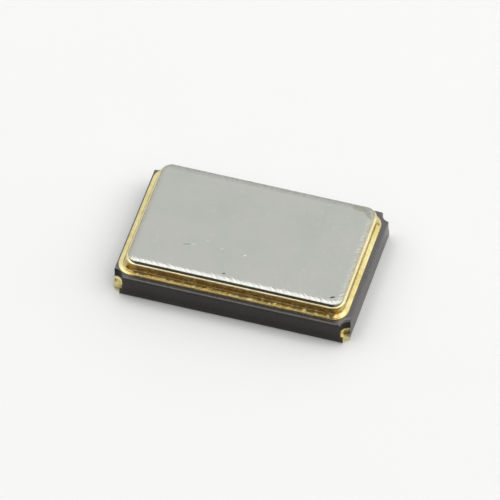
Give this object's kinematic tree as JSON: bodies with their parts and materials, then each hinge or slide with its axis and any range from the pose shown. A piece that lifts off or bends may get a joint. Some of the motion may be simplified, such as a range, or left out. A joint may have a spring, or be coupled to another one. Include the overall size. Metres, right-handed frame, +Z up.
{
  "type": "crystal oscillator",
  "caption": "Crystal oscillator in a flat surface-mount package: dark ceramic body with gold corner contacts, gold sealing ring and plain nickel lid.",
  "frame": {"origin": "middle of the underside, at the level of the solder pads", "axes": "+X along the body, +Y away from the viewer's side, +Z up through the lid"},
  "size_m": [0.005, 0.0032, 0.0009],
  "materials": {
    "black_alumina": "matte fired",
    "gold_plating": "satin plated",
    "nickel_plating": "satin plated",
    "quartz": "polished",
    "silicon": "polished",
    "silver_adhesive": "matte filled",
    "bond_aluminium": "satin",
    "gold_wire": "drawn"
  },
  "bodies": {
    "root": {"ceramic_base": "black_alumina", "seal_metallization": "gold_plating", "braze_joint": "gold_plating", "seam_ring": "gold_plating", "lid": "nickel_plating", "crystal_blank": "quartz", "top_electrode": "gold_plating", "bottom_electrode": "gold_plating", "rest_pad": "gold_plating", "oscillator_chip": "silicon", "chip_pads": "bond_aluminium", "die_attach": "silver_adhesive", "die_metallization": "gold_plating", "adhesive_dot_1": "silver_adhesive", "adhesive_dot_2": "silver_adhesive", "crystal_pad_1": "gold_plating", "crystal_pad_2": "gold_plating", "terminal_1": "gold_plating", "terminal_2": "gold_plating", "terminal_3": "gold_plating", "terminal_4": "gold_plating", "lead_1": "gold_plating", "lead_2": "gold_plating", "lead_3": "gold_plating", "lead_4": "gold_plating", "lead_5": "gold_plating", "lead_6": "gold_plating", "bond_wire_1": "gold_wire", "bond_wire_2": "gold_wire", "bond_wire_3": "gold_wire", "bond_wire_4": "gold_wire", "bond_wire_5": "gold_wire", "bond_wire_6": "gold_wire"}
  },
  "joints": []
}
